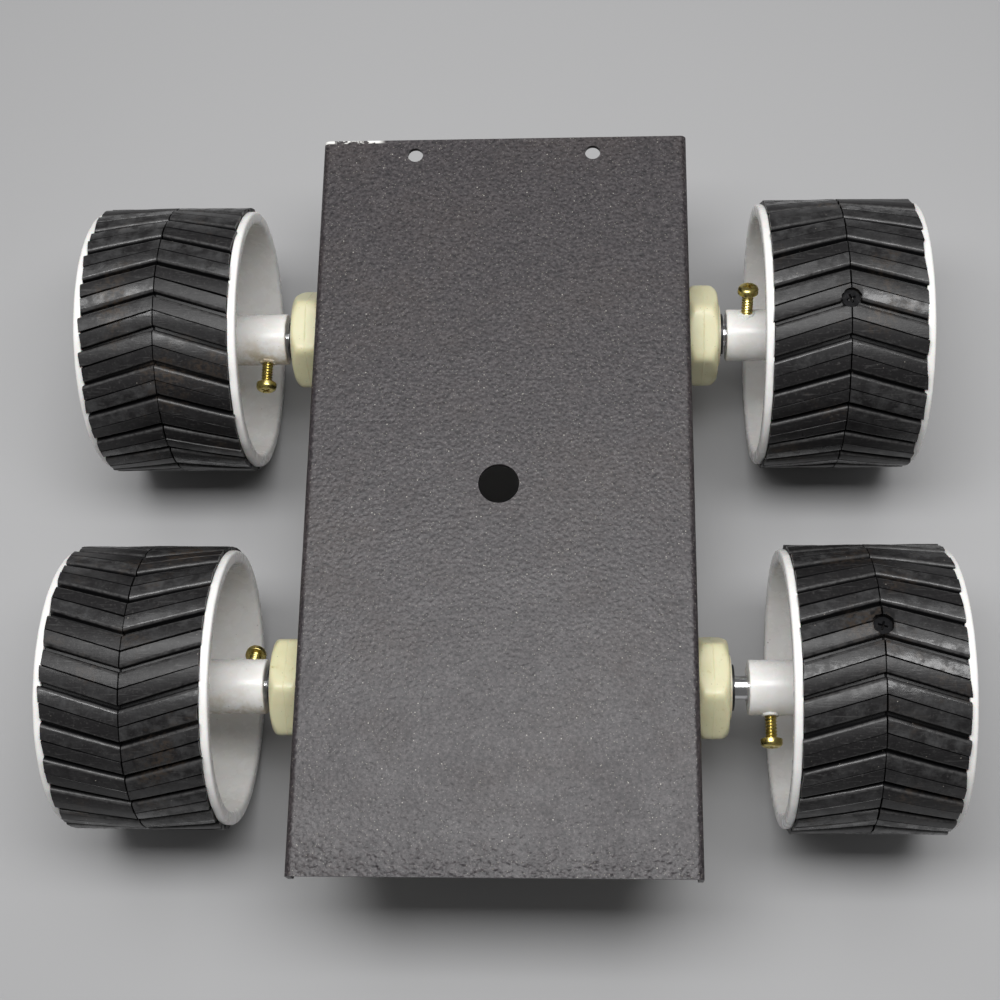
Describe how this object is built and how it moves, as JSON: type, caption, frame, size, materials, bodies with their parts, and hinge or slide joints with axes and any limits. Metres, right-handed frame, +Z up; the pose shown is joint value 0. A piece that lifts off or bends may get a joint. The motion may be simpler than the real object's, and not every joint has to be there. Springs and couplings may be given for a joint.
{
  "type": "four-wheel robot chassis",
  "caption": "Open steel channel robot chassis with a geared motor behind each wheel and chevron-tread plastic wheels locked on their shafts by hub screws.",
  "frame": {"origin": "on the floor under the middle of the chassis, midway between the axles", "axes": "+Z up, +X to the right across the axles, -Y towards the front (the edge without the small holes), +Y towards the rear"},
  "size_m": [0.2138, 0.19, 0.07],
  "materials": {
    "powder_coat": "fine orange-peel texture, satin",
    "nut_nylon": "moulded nylon, slightly translucent",
    "gearbox_nylon": "moulded nylon, satin",
    "gear_nylon": "moulded nylon, greased",
    "gear_steel": "sintered steel",
    "shaft_steel": "ground and polished",
    "clip_black": "black oxide spring steel",
    "rim_plastic": "moulded polypropylene, glossy, slightly soiled",
    "tread_rubber": "moulded rubber, semi-matt, dusty",
    "black_screw": "black oxide",
    "brass_screw": "yellow zinc plating",
    "zinc_screw": "bright zinc plating",
    "pin_steel": "ground",
    "can_steel": "nickel plated",
    "rotor_steel": "laminations and copper winding",
    "cap_plastic": "moulded plastic",
    "terminal_brass": "tinned brass",
    "magnet": "ferrite"
  },
  "bodies": {
    "chassis": {"chassis": "powder_coat", "motor_nuts": "nut_nylon", "motor_end_caps": "cap_plastic", "motor_terminals": "terminal_brass", "motor_magnets": "magnet", "gearbox_screws": "zinc_screw", "gear_pins": "pin_steel", "gearbox_housings": "gearbox_nylon", "gearbox_covers": "gearbox_nylon", "motor_cans": "can_steel"},
    "rear_left_wheel": {"rear_left_rim": "rim_plastic", "rear_left_wheel_disc": "rim_plastic", "rear_left_hub": "rim_plastic", "rear_left_tread": "tread_rubber", "rear_left_tread_screw": "black_screw", "rear_left_hub_screw": "brass_screw", "rear_left_output_shaft": "shaft_steel", "rear_left_output_gear": "gear_steel", "rear_left_shaft_clip": "clip_black"},
    "rear_left_first_gear_body": {"rear_left_first_gear": "gear_nylon"},
    "rear_left_second_gear_body": {"rear_left_second_gear": "gear_nylon"},
    "rear_left_rotor_body": {"rear_left_rotor": "rotor_steel"},
    "front_left_wheel": {"front_left_rim": "rim_plastic", "front_left_wheel_disc": "rim_plastic", "front_left_hub": "rim_plastic", "front_left_tread": "tread_rubber", "front_left_tread_screw": "black_screw", "front_left_hub_screw": "brass_screw", "front_left_output_shaft": "shaft_steel", "front_left_output_gear": "gear_steel", "front_left_shaft_clip": "clip_black"},
    "front_left_first_gear_body": {"front_left_first_gear": "gear_nylon"},
    "front_left_second_gear_body": {"front_left_second_gear": "gear_nylon"},
    "front_left_rotor_body": {"front_left_rotor": "rotor_steel"},
    "rear_right_wheel": {"rear_right_rim": "rim_plastic", "rear_right_wheel_disc": "rim_plastic", "rear_right_hub": "rim_plastic", "rear_right_tread": "tread_rubber", "rear_right_tread_screw": "black_screw", "rear_right_hub_screw": "brass_screw", "rear_right_output_shaft": "shaft_steel", "rear_right_output_gear": "gear_steel", "rear_right_shaft_clip": "clip_black"},
    "rear_right_first_gear_body": {"rear_right_first_gear": "gear_nylon"},
    "rear_right_second_gear_body": {"rear_right_second_gear": "gear_nylon"},
    "rear_right_rotor_body": {"rear_right_rotor": "rotor_steel"},
    "front_right_wheel": {"front_right_rim": "rim_plastic", "front_right_wheel_disc": "rim_plastic", "front_right_hub": "rim_plastic", "front_right_tread": "tread_rubber", "front_right_tread_screw": "black_screw", "front_right_hub_screw": "brass_screw", "front_right_output_shaft": "shaft_steel", "front_right_output_gear": "gear_steel", "front_right_shaft_clip": "clip_black"},
    "front_right_first_gear_body": {"front_right_first_gear": "gear_nylon"},
    "front_right_second_gear_body": {"front_right_second_gear": "gear_nylon"},
    "front_right_rotor_body": {"front_right_rotor": "rotor_steel"}
  },
  "joints": [
    {"name": "rear_left_wheel_spin", "type": "hinge", "parent": "chassis", "child": "rear_left_wheel", "pos_m": [-0.0516, 0.047, 0.035], "axis": [1, 0, 0], "continuous": true},
    {"name": "rear_left_second_gear_spin", "type": "hinge", "parent": "chassis", "child": "rear_left_second_gear_body", "pos_m": [-0.038, 0.0516, 0.04297], "axis": [1, 0, 0], "continuous": true},
    {"name": "rear_left_first_gear_spin", "type": "hinge", "parent": "chassis", "child": "rear_left_first_gear_body", "pos_m": [-0.038, 0.0424, 0.04297], "axis": [1, 0, 0], "continuous": true},
    {"name": "rear_left_rotor_spin", "type": "hinge", "parent": "chassis", "child": "rear_left_rotor_body", "pos_m": [-0.0295, 0.047, 0.035], "axis": [1, 0, 0], "continuous": true},
    {"name": "front_left_wheel_spin", "type": "hinge", "parent": "chassis", "child": "front_left_wheel", "pos_m": [-0.0516, -0.047, 0.035], "axis": [1, 0, 0], "continuous": true},
    {"name": "front_left_second_gear_spin", "type": "hinge", "parent": "chassis", "child": "front_left_second_gear_body", "pos_m": [-0.038, -0.0424, 0.04297], "axis": [1, 0, 0], "continuous": true},
    {"name": "front_left_first_gear_spin", "type": "hinge", "parent": "chassis", "child": "front_left_first_gear_body", "pos_m": [-0.038, -0.0516, 0.04297], "axis": [1, 0, 0], "continuous": true},
    {"name": "front_left_rotor_spin", "type": "hinge", "parent": "chassis", "child": "front_left_rotor_body", "pos_m": [-0.0295, -0.047, 0.035], "axis": [1, 0, 0], "continuous": true},
    {"name": "rear_right_wheel_spin", "type": "hinge", "parent": "chassis", "child": "rear_right_wheel", "pos_m": [0.0516, 0.047, 0.035], "axis": [1, 0, 0], "continuous": true},
    {"name": "rear_right_second_gear_spin", "type": "hinge", "parent": "chassis", "child": "rear_right_second_gear_body", "pos_m": [0.038, 0.0424, 0.04297], "axis": [1, 0, 0], "continuous": true},
    {"name": "rear_right_first_gear_spin", "type": "hinge", "parent": "chassis", "child": "rear_right_first_gear_body", "pos_m": [0.038, 0.0516, 0.04297], "axis": [1, 0, 0], "continuous": true},
    {"name": "rear_right_rotor_spin", "type": "hinge", "parent": "chassis", "child": "rear_right_rotor_body", "pos_m": [0.0295, 0.047, 0.035], "axis": [1, 0, 0], "continuous": true},
    {"name": "front_right_wheel_spin", "type": "hinge", "parent": "chassis", "child": "front_right_wheel", "pos_m": [0.0516, -0.047, 0.035], "axis": [1, 0, 0], "continuous": true},
    {"name": "front_right_second_gear_spin", "type": "hinge", "parent": "chassis", "child": "front_right_second_gear_body", "pos_m": [0.038, -0.0516, 0.04297], "axis": [1, 0, 0], "continuous": true},
    {"name": "front_right_first_gear_spin", "type": "hinge", "parent": "chassis", "child": "front_right_first_gear_body", "pos_m": [0.038, -0.0424, 0.04297], "axis": [1, 0, 0], "continuous": true},
    {"name": "front_right_rotor_spin", "type": "hinge", "parent": "chassis", "child": "front_right_rotor_body", "pos_m": [0.0295, -0.047, 0.035], "axis": [1, 0, 0], "continuous": true}
  ],
  "couplings": [
    {"joint": "rear_left_second_gear_spin", "follows": "rear_left_wheel_spin", "ratio": -2.8333},
    {"joint": "rear_left_first_gear_spin", "follows": "rear_left_wheel_spin", "ratio": 8.0278},
    {"joint": "rear_left_rotor_spin", "follows": "rear_left_wheel_spin", "ratio": -22.745},
    {"joint": "front_left_second_gear_spin", "follows": "front_left_wheel_spin", "ratio": -2.8333},
    {"joint": "front_left_first_gear_spin", "follows": "front_left_wheel_spin", "ratio": 8.0278},
    {"joint": "front_left_rotor_spin", "follows": "front_left_wheel_spin", "ratio": -22.745},
    {"joint": "rear_right_second_gear_spin", "follows": "rear_right_wheel_spin", "ratio": -2.8333},
    {"joint": "rear_right_first_gear_spin", "follows": "rear_right_wheel_spin", "ratio": 8.0278},
    {"joint": "rear_right_rotor_spin", "follows": "rear_right_wheel_spin", "ratio": -22.745},
    {"joint": "front_right_second_gear_spin", "follows": "front_right_wheel_spin", "ratio": -2.8333},
    {"joint": "front_right_first_gear_spin", "follows": "front_right_wheel_spin", "ratio": 8.0278},
    {"joint": "front_right_rotor_spin", "follows": "front_right_wheel_spin", "ratio": -22.745}
  ]
}
